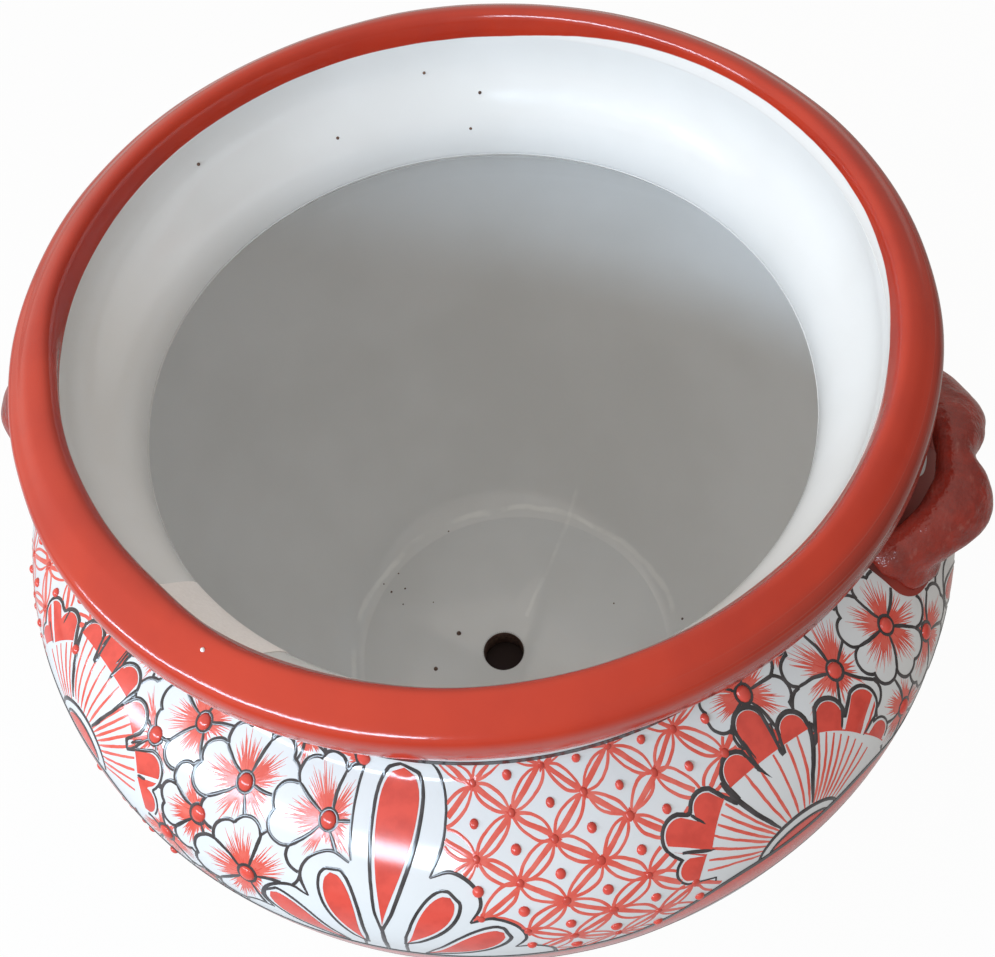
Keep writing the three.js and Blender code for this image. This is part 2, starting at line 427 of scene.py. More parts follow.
def start_clean():
    if bpy.context.object and bpy.context.object.mode != "OBJECT":
        bpy.ops.object.mode_set(mode="OBJECT")
    bpy.ops.object.select_all(action="DESELECT")


def pick(piece):
    start_clean()
    piece.select_set(True)
    bpy.context.view_layer.objects.active = piece


def smooth(piece, degrees=32):
    pick(piece)
    bpy.ops.object.shade_smooth_by_angle(angle=math.radians(degrees))


def in_scene(name, data):
    piece = bpy.data.objects.new(name, data)
    bpy.context.scene.collection.objects.link(piece)
    return piece


def edit_all():
    bpy.ops.object.mode_set(mode="EDIT")
    bpy.ops.mesh.select_all(action="SELECT")


def apply_modifier(piece, kind, **settings):
    pick(piece)
    modifier = piece.modifiers.new(kind.lower(), kind)
    for name, value in settings.items():
        setattr(modifier, name, value)
    bpy.ops.object.modifier_apply(modifier=modifier.name)


def dress(piece, material):
    piece.data.materials.clear()
    piece.data.materials.append(material)
    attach(piece, "root")
    return piece


def extrude_rings(rings):
    """Extrudes what is selected from ring to ring, each a radius and a height in metres."""
    for (r0, z0), (r1, z1) in zip(rings, rings[1:]):
        bpy.ops.mesh.extrude_region_move(TRANSFORM_OT_translate={"value": (0, 0, z1 - z0)})
        bpy.ops.transform.resize(value=(r1 / r0, r1 / r0, 1), center_override=(0, 0, z1))
    bpy.ops.mesh.select_all(action="SELECT")


def turned(name, outline, sides=turns):
    start_clean()
    outline = [tuple(p / 1000) for p in np.asarray(outline, float)]
    radius, height = outline[0]
    bpy.ops.mesh.primitive_circle_add(vertices=sides, radius=radius, location=(0, 0, height))
    piece = bpy.context.object
    piece.name = name
    bpy.ops.object.transform_apply(location=True)
    edit_all()
    extrude_rings(outline + outline[:1])
    bpy.ops.mesh.remove_doubles(threshold=0.00002)
    bpy.ops.mesh.normals_make_consistent(inside=False)
    bpy.ops.object.mode_set(mode="OBJECT")
    smooth(piece)
    print(name, len(piece.data.polygons), "faces")
    return piece

# %% Walls
foot_part = low_outside[low_outside[:, 1] < low_joint]
above = low_outside[low_outside[:, 1] > low_joint + 1]
joint_radius = float(np.interp(low_joint, low_outside[:, 1], low_outside[:, 0]))
wall_outside = np.vstack([(joint_radius, low_joint), above])
cove = np.array([(106.5, low_joint), (106.5, floor_top), (110.0, floor_top + 0.7), (113.2, floor_top + 2.4)])
rising = low_inside[low_inside[:, 1] > floor_top + 4.5]
wall_inside = np.vstack([cove, rising])
lower_wall = turned("belly_lower", np.vstack([with_close_ends(wall_outside), with_close_ends(wall_inside)[::-1]]))


def glaze_both_sides(piece):
    """Clear white inside, and the slightly greyer ground that the painter worked on outside."""
    dress(piece, white)
    piece.data.materials.append(ground_white)
    for face in piece.data.polygons:
        face.material_index = int(face.normal.x * face.center.x + face.normal.y * face.center.y > 0)


out_of_round(lower_wall)
glaze_both_sides(lower_wall)
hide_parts("lower_wall")

upper_wall = turned("belly_upper", np.vstack([with_close_ends(high_outside), with_close_ends(high_inside)[::-1]]))
out_of_round(upper_wall)
glaze_both_sides(upper_wall)
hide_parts("upper_wall")

# %% [markdown]
# ## Collar and rim
# The collar flares in a soft S from the sharp throat to the mouth, which is why its
# far side catches a window as a thin bright line. The rim is a fat coil, sloping
# outwards to a firm shoulder, folded down outside the collar. It is pressed slimmer
# at the sides, and a gentle noise moves its surface, because no such rim is round.

# %% Collar
flare = np.linspace(0, 1, 34)[1:]
steep = np.clip((flare - 0.02) / 0.96, 0, 1)
ease = steep**3 * (10 - 15 * steep + 6 * steep**2)
collar_inside = np.stack(
    [throat_radius + (mouth_radius - throat_radius) * ease, throat_height + (collar_top - throat_height) * flare], 1
)
throat_lip = np.array([(throat_radius + 0.8, throat_height), (throat_radius + 0.05, throat_height + 1.2)])
collar_face = np.vstack([throat_lip, collar_inside])
collar_back = np.vstack([neck_outside, [(collar_outside, 372), (collar_outside, collar_top)]])
collar = turned("collar", np.vstack([collar_back, collar_face[::-1]]))
glaze_both_sides(collar)
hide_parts("neck_collar")


# %% Push a surface in and out by a soft noise
def handle_softly(piece, size, strength, name):
    lumps = bpy.data.textures.new(name, "CLOUDS")
    lumps.noise_scale = size
    lumps.noise_depth = 1
    apply_modifier(piece, "DISPLACE", texture=lumps, texture_coords="LOCAL", strength=strength, mid_level=0.5)

# %% Rim
rim_section = rounded(
    [(185.3, 361.6), (190.6, 364.6), (195.0, 370.4), (197.3, 377.0), (198.0, 383.0), (198.0, 388.0), (197.5, 390.9),
     (196.3, 393.1), (194.2, 394.8), (191.0, 396.5), (187.3, 398.3), (183.8, 399.9), (180.6, 400.6), (178.4, 399.8),
     (176.9, 397.3), (176.0, 394.0), (175.3, 390.8), (175.0, 388.2)], 78)


def settle_rim(piece):
    """The coil is slimmer at the back and sides, and its crest leans in at the left and out at the front."""
    spots = places_of(piece)
    radius, height = np.hypot(spots[:, 0], spots[:, 1]) * 1000, spots[:, 2] * 1000
    azimuth = np.degrees(np.arctan2(spots[:, 1], spots[:, 0])) - front_turn

    def near(middle, half, soft):
        return 1 - soft_edge((abs((azimuth - middle + 180) % 360 - 180) - half) / soft)

    crest = soft_edge((185 - radius) / 7) * soft_edge((height - 388.2) / 7)
    shoulder_part = soft_edge((radius - 185) / 8) * soft_edge((height - 376) / 12)
    push = crest * (1.5 * near(270, 35, 20) - 3.0 * near(205, 16, 20)) - shoulder_part * 1.8 * (1 - near(262, 40, 25))
    spots[:, :2] *= (1 + push / radius)[:, None]
    put_back(piece, spots)


rim = turned("rim", rim_section)
settle_rim(rim)
handle_softly(rim, 0.07, 0.0011, "rim_lumps")
dress(rim, red)
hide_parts("rim_roll")

# %% [markdown]
# ## Floor with its drain hole
# The floor is a flat slab with a hole that was cut off-centre while the clay was soft.
# A disc with a cylinder cut out of it gives both the hole and its bare clay wall; the
# hole's two edges are beveled, because glaze rounds them.

# %% Floor slab
drain_place = Vector((0.008 * math.cos(math.radians(-165)), 0.008 * math.sin(math.radians(-165)), 0))
start_clean()
bpy.ops.mesh.primitive_circle_add(vertices=turns, radius=0.130, fill_type="NGON")
slab = bpy.context.object
slab.name = "floor"
edit_all()
slab_rings = [(base_radius, 0.0), *[tuple(p) for p in foot_part[1:]], (joint_radius, low_joint),
              (106.5, low_joint), (106.5, floor_top)]
extrude_rings([(radius / 1000, height / 1000) for radius, height in slab_rings])
bpy.ops.mesh.normals_make_consistent(inside=False)
start_clean()
bpy.ops.mesh.primitive_cylinder_add(vertices=64, radius=0.014, depth=0.06, location=drain_place)
drill = bpy.context.object
apply_modifier(slab, "BOOLEAN", operation="DIFFERENCE", object=drill, solver="EXACT")
bpy.data.objects.remove(drill)
bpy.ops.object.mode_set(mode="EDIT")
bpy.ops.mesh.select_all(action="DESELECT")
bpy.ops.object.mode_set(mode="OBJECT")
for edge in slab.data.edges:
    ends = [slab.data.vertices[i].co for i in edge.vertices]
    level = abs(ends[0].z - ends[1].z) < 1e-6
    edge.select = level and all((Vector((e.x, e.y, 0)) - drain_place).length < 0.0145 for e in ends)
bpy.ops.object.mode_set(mode="EDIT")
bpy.ops.mesh.bevel(offset=0.0016, segments=3)
bpy.ops.object.mode_set(mode="OBJECT")
smooth(slab, 40)
dress(slab, white)
slab.data.materials.append(clay)
for face in slab.data.polygons:
    near = (Vector((face.center.x, face.center.y, 0)) - drain_place).length < 0.0143
    face.material_index = 1 if near and abs(face.normal.z) < 0.3 else 0
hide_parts("floor_slab")
print("floor", len(slab.data.polygons), "faces")

# %% [markdown]
# ## Handles
# Each handle is a strap of clay pressed on at both ends, standing off the shoulder so
# that two fingers go behind it. The potter pinched its middle, which leaves two lobes,
# and thumbed the ends flat. A face is extruded from station to station along a
# straight bar, the bar is bent round the pot, thumb-pads are added as flattened balls,
# and a voxel remesh melts all of them into one lump of clay. The left handle is the
# right one mirrored.

# %% Stations of the strap, and how a flat piece bends round the pot
mm_per_degree = belly_radius * math.pi / 180
handle_turn = -19.5
strap_stations = [
    (-15.6, 190.0, 209.0, 296.0, 6.5), (-13.4, 192.0, 216.0, 299.0, 10.0), (-11.0, 196.0, 223.5, 303.5, 12.0),
    (-8.8, 202.0, 231.0, 310.0, 12.5), (-6.2, 206.0, 237.5, 315.5, 12.5), (-3.7, 208.5, 240.0, 319.0, 12.5),
    (-1.5, 209.5, 236.5, 320.5, 11.5), (0.2, 209.5, 226.5, 321.0, 9.5), (1.9, 209.0, 228.5, 321.0, 10.5),
    (4.6, 208.0, 235.0, 320.0, 12.0), (7.8, 206.0, 236.8, 317.0, 12.0), (11.6, 201.0, 234.0, 311.5, 12.0),
    (15.6, 195.0, 227.0, 304.5, 12.0), (19.2, 190.0, 217.0, 298.0, 10.5), (21.8, 190.0, 208.0, 293.0, 7.0),
]


def bend_round(piece, centre, tilt=0.3):
    """Bar coordinates (degrees, radius, height, in mm and degrees) to metres round the pot."""
    spots = places_of(piece)
    turn = np.radians(spots[:, 0] + centre + front_turn)
    drop = tilt * (spots[:, 1] - 215)
    put_back(piece, np.stack([spots[:, 1] * np.cos(turn), spots[:, 1] * np.sin(turn), spots[:, 2] - drop], 1) / 1000)


def wrap(piece, centre=0.0):
    """Sheet coordinates (mm along the belly, mm up the outline, mm of lift) to metres on the pot."""
    spots = places_of(piece)
    turn = np.radians(spots[:, 0] / mm_per_degree + centre + front_turn)
    radius, height, out, up = skin(spots[:, 1])
    radius = radius + out * spots[:, 2]
    height = height + up * spots[:, 2]
    put_back(piece, np.stack([radius * np.cos(turn), radius * np.sin(turn), height], 1) / 1000)


def gather(name, balls, add=bpy.ops.mesh.primitive_uv_sphere_add, **shape):
    """One mesh of many balls, each given as its place and its size along the three axes."""
    start_clean()
    add(radius=1, **shape)
    piece = bpy.context.object
    piece.name = name
    bpy.ops.object.mode_set(mode="EDIT")
    bpy.ops.mesh.delete(type="VERT")
    for place, size in balls:
        add(radius=1, location=place, scale=size, **shape)
    bpy.ops.object.mode_set(mode="OBJECT")
    return piece


# %% Strap
def strap():
    start_clean()
    bpy.ops.mesh.primitive_circle_add(vertices=16, radius=1, fill_type="NGON", rotation=(0, math.pi / 2, 0))
    bar = bpy.context.object
    bpy.ops.object.transform_apply(rotation=True)
    edit_all()
    last = None
    for angle, inner, outer, height, half in strap_stations:
        centre = Vector((angle, (inner + outer) / 2, height))
        size = ((outer - inner) / 2, half)
        if last is None:
            bpy.ops.transform.translate(value=centre)
            bpy.ops.transform.resize(value=(1, size[0], size[1]), center_override=centre)
        else:
            bpy.ops.mesh.extrude_region_move(TRANSFORM_OT_translate={"value": centre - last[0]})
            stretch = (1, size[0] / last[1][0], size[1] / last[1][1])
            bpy.ops.transform.resize(value=stretch, center_override=centre)
        last = (centre, size)
    bpy.ops.mesh.select_all(action="SELECT")
    bpy.ops.mesh.normals_make_consistent(inside=False)
    bpy.ops.object.mode_set(mode="OBJECT")
    apply_modifier(bar, "SUBSURF", levels=2, render_levels=2)
    bend_round(bar, handle_turn)
    return bar


# %% Thumbed pads at both ends
def pads():
    thumbs = ((12.2, 70, 14, 16, 6.5), (11.0, 58, 17, 13, 6.5), (9.6, 49, 13, 7.5, 5.5))
    balls = [((side * across * mm_per_degree, rise, 0), size) for side in (-1, 1) for across, rise, *size in thumbs]
    lump = gather("thumb_pads", balls, segments=32, ring_count=16)
    wrap(lump, handle_turn)
    return lump


# %% Two handles
right_handle = strap()
thumbed = pads()
pick(right_handle)
thumbed.select_set(True)
bpy.ops.object.join()
right_handle.name = "handle_right_clay"
apply_modifier(right_handle, "REMESH", mode="VOXEL", voxel_size=0.0016)
apply_modifier(right_handle, "SMOOTH", factor=0.5, iterations=10)
handle_softly(right_handle, 0.016, 0.0022, "handle_lumps")
smooth(right_handle, 60)

left_handle = in_scene("handle_left_clay", right_handle.data.copy())
out_of_round(right_handle)
mirrored = Matrix.Rotation(math.radians(-3), 4, "Z") @ Matrix.Scale(-1, 4, (1, 0, 0))
left_handle.data.transform(Matrix.Translation((-0.0028, 0, 0)) @ mirrored)
left_handle.data.flip_normals()
out_of_round(left_handle)
dress(right_handle, handle_red)
dress(left_handle, handle_red)
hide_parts("handle_right")
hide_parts("handle_left")
print("handle", len(right_handle.data.polygons), "faces")

# %% [markdown]
# ## Paper label
# A blank paper label sticks to the inside of the collar. A flat grid, bent over the
# collar's face and thickened, is all it needs.

# %% Label
label_from, label_to, label_low, label_high, label_lean = -129.8, -110.0, 13.0, 43.0, 2.8
paper_gap = 0.45
start_clean()
bpy.ops.mesh.primitive_grid_add(x_subdivisions=24, y_subdivisions=8, size=1)
label = bpy.context.object
label.name = "label"
spots = places_of(label)
climb = throat_height + label_low + (label_high - label_low) * (spots[:, 1] + 0.5)
slant = label_lean * (spots[:, 1] + 0.5) * (0.5 - spots[:, 0])
turn = np.radians(label_from + (label_to - label_from) * (spots[:, 0] + 0.5) + slant)
inward = np.interp(climb, collar_face[:, 1], collar_face[:, 0]) - paper_gap
put_back(label, np.stack([inward * np.cos(turn), inward * np.sin(turn), climb], 1) / 1000)
label.data.flip_normals()
apply_modifier(label, "SOLIDIFY", thickness=0.00035, offset=-1)
smooth(label)
dress(label, paper)
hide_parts("blank_label")

# %% [markdown]
# ## Drawing on a flat sheet
# The paint follows the belly, so it is drawn on a flat sheet first, in millimetres
# round the belly and up its outline, and bent onto the pot at the end. A brush stroke
# is a curve with a width at every point, made a mesh; a filled shape is a thin tile with
# points inside, so that it can bend; a blob of thick glaze is a flattened ball. A stroke
# that passes behind a nearer flower is cut where it enters that flower's outline.

# %% Even steps, smooth lines and what lies inside a ring
hand = np.random.default_rng(7)


def even(line, step):
    reach = run_along(line)
    steps = np.linspace(0, reach[-1], max(3, int(round(reach[-1] / step)) + 1))
    return np.stack([np.interp(steps, reach, line[:, k]) for k in (0, 1)], 1)


def through(points, step=1.2):
    return even(rounded(points, 24 * len(points)), step)


def inside(points, ring):
    x, y = points[:, 0, None], points[:, 1, None]
    x0, y0 = ring[:, 0], ring[:, 1]
    x1, y1 = np.roll(x0, -1), np.roll(y0, -1)
    spans = (y0 > y) != (y1 > y)
    rise = np.where(y1 == y0, 1, y1 - y0)
    return (spans & (x < (x1 - x0) * (y - y0) / rise + x0)).sum(1) % 2 == 1


def hidden(place, rings):
    return any(inside(np.array([place], float), ring)[0] for ring in rings)


def seen_runs(line, rings):
    """Where each run of three or more points starts and ends that no ring covers."""
    keep = np.ones(len(line), bool)
    for ring in rings:
        keep &= ~inside(line, ring)
    edges = np.flatnonzero(np.diff(np.concatenate([[0], keep.astype(int), [0]])))
    return [(first, last) for first, last in zip(edges[::2], edges[1::2]) if last - first >= 3]


# %% A drawing holds strokes, shapes and blobs
class Drawing:
    def __init__(self):
        self.black, self.red, self.wash, self.shapes, self.blobs, self.knots = [], [], [], [], [], []

    def stroke(self, ink, line, width, ends=(0.35, 0.35), behind=(), wobble=0.12):
        line = np.asarray(line, float)
        count = len(line)
        along = np.linspace(0, 1, count)
        shake = np.convolve(hand.normal(0, 1, (count + 8)), np.ones(9) / 9, "valid") * 3
        lift = np.gradient(line, axis=0)
        side = np.stack([-lift[:, 1], lift[:, 0]], 1) / (np.hypot(*lift.T)[:, None] + 1e-9)
        line = line + side * shake[:, None] * wobble
        grow = np.minimum(1, ends[0] + (1 - ends[0]) * along / 0.18)
        fade = np.minimum(1, ends[1] + (1 - ends[1]) * (1 - along) / 0.18)
        press = 1 + 0.12 * np.sin(along * 5 + hand.uniform(0, 6))
        widths = width * grow * fade * press
        ink += [(line[first:last], widths[first:last]) for first, last in seen_runs(line, behind)]

    def shape(self, ring, lift=0.12):
        self.shapes.append((np.asarray(ring, float), lift))

    def bead(self, pile, place, radius, height, behind=()):
        if not hidden(place, behind):
            pile.append((*place, radius, height))


# %% Strokes to a mesh
def lines_mesh(name, strokes, relief, lift=0.0):
    curve = bpy.data.curves.new(name, "CURVE")
    curve.dimensions = "2D"
    curve.fill_mode = "NONE"
    curve.bevel_depth = 1.0
    curve.bevel_resolution = 0
    curve.use_fill_caps = True
    for line, widths in strokes:
        spline = curve.splines.new("POLY")
        spline.points.add(len(line) - 1)
        flat = np.zeros((len(line), 4))
        flat[:, :2] = line
        spline.points.foreach_set("co", flat.ravel())
        spline.points.foreach_set("radius", widths / 2)
    pick(in_scene(name, curve))
    bpy.ops.object.convert(target="MESH")
    piece = bpy.context.object
    piece.data.transform(Matrix.Translation((0, 0, lift)) @ Matrix.Scale(relief, 4, (0, 0, 1)))
    wrap(piece)
    smooth(piece, 40)
    return piece


# %% Filled shapes to a mesh
def shapes_mesh(name, shapes, grid=4.0):
    spots, faces = [], []
    for ring, lift in shapes:
        low, high = ring.min(0), ring.max(0)
        xs, ys = np.meshgrid(np.arange(low[0], high[0], grid), np.arange(low[1], high[1], grid * 0.8))
        dots = np.stack([xs.ravel(), ys.ravel()], 1)
        dots = dots[inside(dots, ring)]
        if len(dots):
            gap = np.min(np.hypot(*(dots[:, None] - ring[None]).transpose(2, 0, 1)), axis=1)
            dots = dots[gap > 1.0]
        flat = [Vector(p) for p in np.vstack([ring, dots])]
        found, _, tiles, *_ = delaunay_2d_cdt(flat, [], [list(range(len(ring)))], 1, 1e-5)
        start, count = len(spots), len(found)
        spots += [(p.x, p.y, lift) for p in found] + [(p.x, p.y, -0.25) for p in found]
        rim_edges = {}
        for tile in tiles:
            faces.append([start + i for i in tile])
            faces.append([start + count + i for i in reversed(tile)])
            for a, b in zip(tile, tile[1:] + tile[:1]):
                rim_edges[(a, b)] = (b, a) not in rim_edges
                if not rim_edges[(a, b)]:
                    rim_edges[(b, a)] = False
        for (a, b), edge in rim_edges.items():
            if edge and rim_edges.get((b, a)) is None:
                faces.append([start + b, start + a, start + count + a, start + count + b])
    mesh = bpy.data.meshes.new(name)
    mesh.from_pydata(spots, [], faces)
    piece = in_scene(name, mesh)
    wrap(piece)
    smooth(piece)
    return piece


# %% Blobs to a mesh
def blobs_mesh(name, blobs):
    balls = [((x, y, 0), (radius, radius, height)) for x, y, radius, height in blobs]
    piece = gather(name, balls, segments=12, ring_count=7)
    wrap(piece)
    smooth(piece, 80)
    return piece

# %% [markdown]
# ## The lattice
# Slanting rows of crossings are joined by three strokes each, one straight and two
# bowed, so that every link looks like a leaf. Small knots with short dashes mark the
# crossings, and a blob of thick red glaze sits in each cell.

# %% Lattice
def crossing(i, j, slide=0.0, rise=0.0):
    sag = 1.2 * max(0, i + j - 4)
    azimuth = -97.3 + 4.47 * i + 4.25 * j + slide
    return np.array([azimuth * mm_per_degree, 59 - 10.5 * i + (17.4 - 1.8 * i) * j + rise - sag])


def lattice(art, cells, slide=0.0, rise=0.0, behind=(), low=-12, high=98.5):
    def fits(p):
        return low < p[1] < high

    for i, j in cells:
        here = crossing(i, j, slide, rise)
        for step in ((1, 0), (0, 1)):
            there = crossing(i + step[0], j + step[1], slide, rise)
            if not (fits(here) or fits(there)):
                continue
            span = there - here
            side = np.array([-span[1], span[0]]) / np.hypot(*span)
            for bow in (-4.0, 0.0, 4.0):
                bow = bow * hand.uniform(0.85, 1.15)
                start, end = here + hand.normal(0, 0.5, 2), there + hand.normal(0, 0.5, 2)
                swell = side * bow * 0.8
                middle = (start + end) / 2 + side * bow
                line = through([start, start + span * 0.25 + swell, middle, end - span * 0.25 + swell, end], 1.5)
                line = line[(line[:, 1] > low) & (line[:, 1] < high)]
                if len(line) > 3:
                    art.stroke(art.wash, line, 1.5 if bow else 2.5, (0.9, 0.55), behind)
        if fits(here):
            for turn in hand.uniform(0, 360, 5):
                reach = np.array([math.cos(math.radians(turn)), math.sin(math.radians(turn))])
                dash = even(np.array([here - reach * 2.4, here + reach * 3.4]), 0.8)
                art.stroke(art.red, dash, 1.5, (0.5, 0.2), behind)
            art.bead(art.knots, here, hand.uniform(1.6, 2.2), 0.7, behind)
        middle = (here + crossing(i + 1, j + 1, slide, rise)) / 2 + hand.normal(0, 0.5, 2)
        if fits(middle):
            art.bead(art.blobs, middle, hand.uniform(2.1, 2.6), hand.uniform(1.3, 1.7), behind)

# %% [markdown]
# ## Flowers
# A flower has five notched petals round a ring, a black vein between each two, and
# short red hairs that fade outwards. Only the outline needs care, because it also hides
# what lies behind: it is drawn as one closed line in angle and reach.

# %% Flower
def petal_edge(place, reach, turn):
    angle = np.linspace(0, 360, 141)[:-1]
    part = ((angle - turn) % 72) / 72
    swell = 0.75 + 0.17 * np.sin(np.pi * part) ** 0.5 + 0.12 * np.abs(np.sin(2 * np.pi * part)) ** 0.7
    lobes = 1 + 0.04 * np.sin(np.radians(angle) * 2 + place[0]) + 0.03 * np.sin(np.radians(angle) * 3 + place[1])
    turned_by = np.radians(angle)
    return np.asarray(place) + (reach * swell * lobes)[:, None] * np.stack([np.cos(turned_by), np.sin(turned_by)], 1)


def hairs(art, place, reach, turn, behind):
    """Short strong hairs over long thin ones, so that the red is solid at the root and fades out."""
    layers = ((art.wash, 25, 0.84, 0.95), (art.wash, 12, 0.52, 1.6), (art.red, 7, 0.38, 1.4))
    for ink, count, far, width in layers:
        for h in np.linspace(6, 66, count) + hand.normal(0, 1.0, count):
            way = math.radians(turn + h)
            out = np.array([math.cos(way), math.sin(way)])
            middle = 1 - (abs(h - 36) / 36) ** 2 * 0.5
            tip = place + out * reach * far * middle * hand.uniform(0.72, 1.1)
            along = np.linspace(0, 1, 6)[:, None]
            root = place + out * 4.2
            sweep = np.array([-out[1], out[0]]) * (along * (1 - along)) * hand.uniform(-2, 2)
            line = root + (tip - root) * along + sweep
            if not any(inside(line, ring).any() for ring in behind):
                ink.append((line, width * (1 - along[:, 0]) ** 0.8 + 0.1))


def flower(art, place, reach, turn, behind):
    place = np.asarray(place, float)
    edge = petal_edge(place, reach, turn)
    art.stroke(art.black, even(np.vstack([edge, edge[:2]]), 1.2), 1.8, (0.9, 0.9), behind)
    for k in range(5):
        way = math.radians(turn + 72 * k)
        vein = np.array([math.cos(way), math.sin(way)])
        bend = np.array([-vein[1], vein[0]]) * hand.uniform(-1.2, 1.2)
        line = through([place + vein * 4.6, place + vein * reach * 0.45 + bend, place + vein * reach * 0.81], 1.2)
        art.stroke(art.black, line, 1.75, (0.9, 0.6), behind)
        hairs(art, place, reach, turn + 72 * k, behind)
    ring_way = np.linspace(0, 2 * np.pi, 25)
    heart = place + 4.6 * np.stack([np.cos(ring_way), np.sin(ring_way)], 1)
    art.stroke(art.black, heart, 1.75, (1, 1), behind, 0.05)
    art.bead(art.blobs, place, 3.9, 1.5, behind)
    return edge

# %% [markdown]
# ## Fans
# A fan is a half-disc with striped petals, capped by round red lobes. The lobes are
# circles, and the outline is whichever circle reaches out farthest in each direction;
# the red sits just inside the black, with a sliver of white between. The painter's
# fans differ, so each has its own lobes.

# %% Fan
class FanShape:
    """One fan, in mm and degrees: lobes (across, up, radius), red parts (from, to, base at each end), then
    the middle part, notches, seams, stripes, the middle's stripes (top, foot) and the two arches."""

    def __init__(self, lobes, parts, middle, notches, seams, stripes, tops, arches):
        self.lobes, self.parts, self.middle, self.notches = lobes, parts, middle, notches
        self.seams, self.stripes, self.tops, self.arches = seams, stripes, tops, arches

    def reach(self, way, shrink=0.0):
        """Farthest lobe edge in a direction, in degrees from straight up."""
        reach = np.full(len(way), self.middle[2] - 2.0 - shrink)
        for across, up, radius in self.lobes:
            distance, angle = math.hypot(across, up), math.degrees(math.atan2(across, up))
            off = np.radians(way - angle)
            under = (radius - shrink) ** 2 - (distance * np.sin(off)) ** 2
            hit = (under > 0) & (np.cos(off) > 0)
            reach = np.where(hit, np.maximum(reach, distance * np.cos(off) + np.sqrt(np.maximum(under, 0))), reach)
        return reach


front_fan = FanShape(
    lobes=((-51.2, 18.6, 7.6), (-51.8, 35, 9.2), (-36.5, 40.7, 8.2), (-15.9, 47.4, 8.6), (0.6, 59.5, 8.9),
           (18, 47, 8.4), (37, 40, 8.5), (54, 30.7, 9.5), (55, 13.5, 7)),
    parts=((-79.5, -62, 52, 49.5), (-60.5, -31.5, 47.6, 49.5), (32, 64.5, 47.2, 51), (66, 84, 51.5, 56)),
    middle=(-27.8, 30, 45.5),
    notches=((-62.5, 61, -60, 46), (-47.4, 61, -48.6, 53), (-6.9, 57.5, -6.2, 47), (10.1, 57, 9.3, 48.5),
             (49.6, 60, 50.6, 49.5), (69, 61.5, 66.3, 51)),
    seams=(((-25.6, 47.5), (-23.3, 40), (-17.9, 29), (-12, 20), (-8.7, 13.8)),
           ((26.8, 45.5), (23.7, 39), (18.3, 31), (13.3, 23), (9.6, 13.8))),
    stripes=(-72, -66, -59.5, -53, -47, -41.5, -36, 36, 41, 46, 51, 56.5, 62, 68, 74),
    tops=((-13.7, -5.4), (-6.2, -2.5), (2.9, 1.5), (11.2, 5), (17.9, 7.6)),
    arches=((22, 13.5, 2.0), (16.6, 8.2, 1.6)))
side_fan = FanShape(
    lobes=((-51, 13, 6.8), (-55, 25, 8.2), (-42, 31.5, 8.6), (-25, 42, 8.6), (-8.7, 55, 8.8),
           (10, 46, 8.6), (25.8, 38, 8.6), (47, 25, 9.2), (51, 11, 8)),
    parts=((-80, -68, 50, 48), (-66, -46, 46.6, 45.7), (23, 65, 42, 47), (67, 84, 47, 52)),
    middle=(-37, 18, 42.5),
    notches=((-70, 58, -69, 47), (-53, 60, -57, 54), (-18.3, 56.5, -20, 47), (-2.2, 56, -2.6, 46),
             (47.6, 50, 48.3, 43), (66.8, 52, 66, 47)),
    seams=(((-34.5, 43), (-28.3, 33), (-19, 22), (-13, 14.5)), ((18, 47), (14.5, 35), (9.6, 22), (6.2, 15.5))),
    stripes=(-72, -65, -59, -53, -47, 25, 31, 37, 43.5, 50, 57, 64, 71, 77),
    tops=((-28, -10.5), (-20.8, -8), (-13.7, -5), (-6.7, -2), (0.8, 1), (8, 4)),
    arches=((21, 14.7, 2.0), (15, 9.5, 1.6)))


# %% Draw a fan
def spread(centre, way, reach):
    way = np.radians(way)
    return centre + np.stack([np.sin(way) * reach, np.cos(way) * reach], 1)


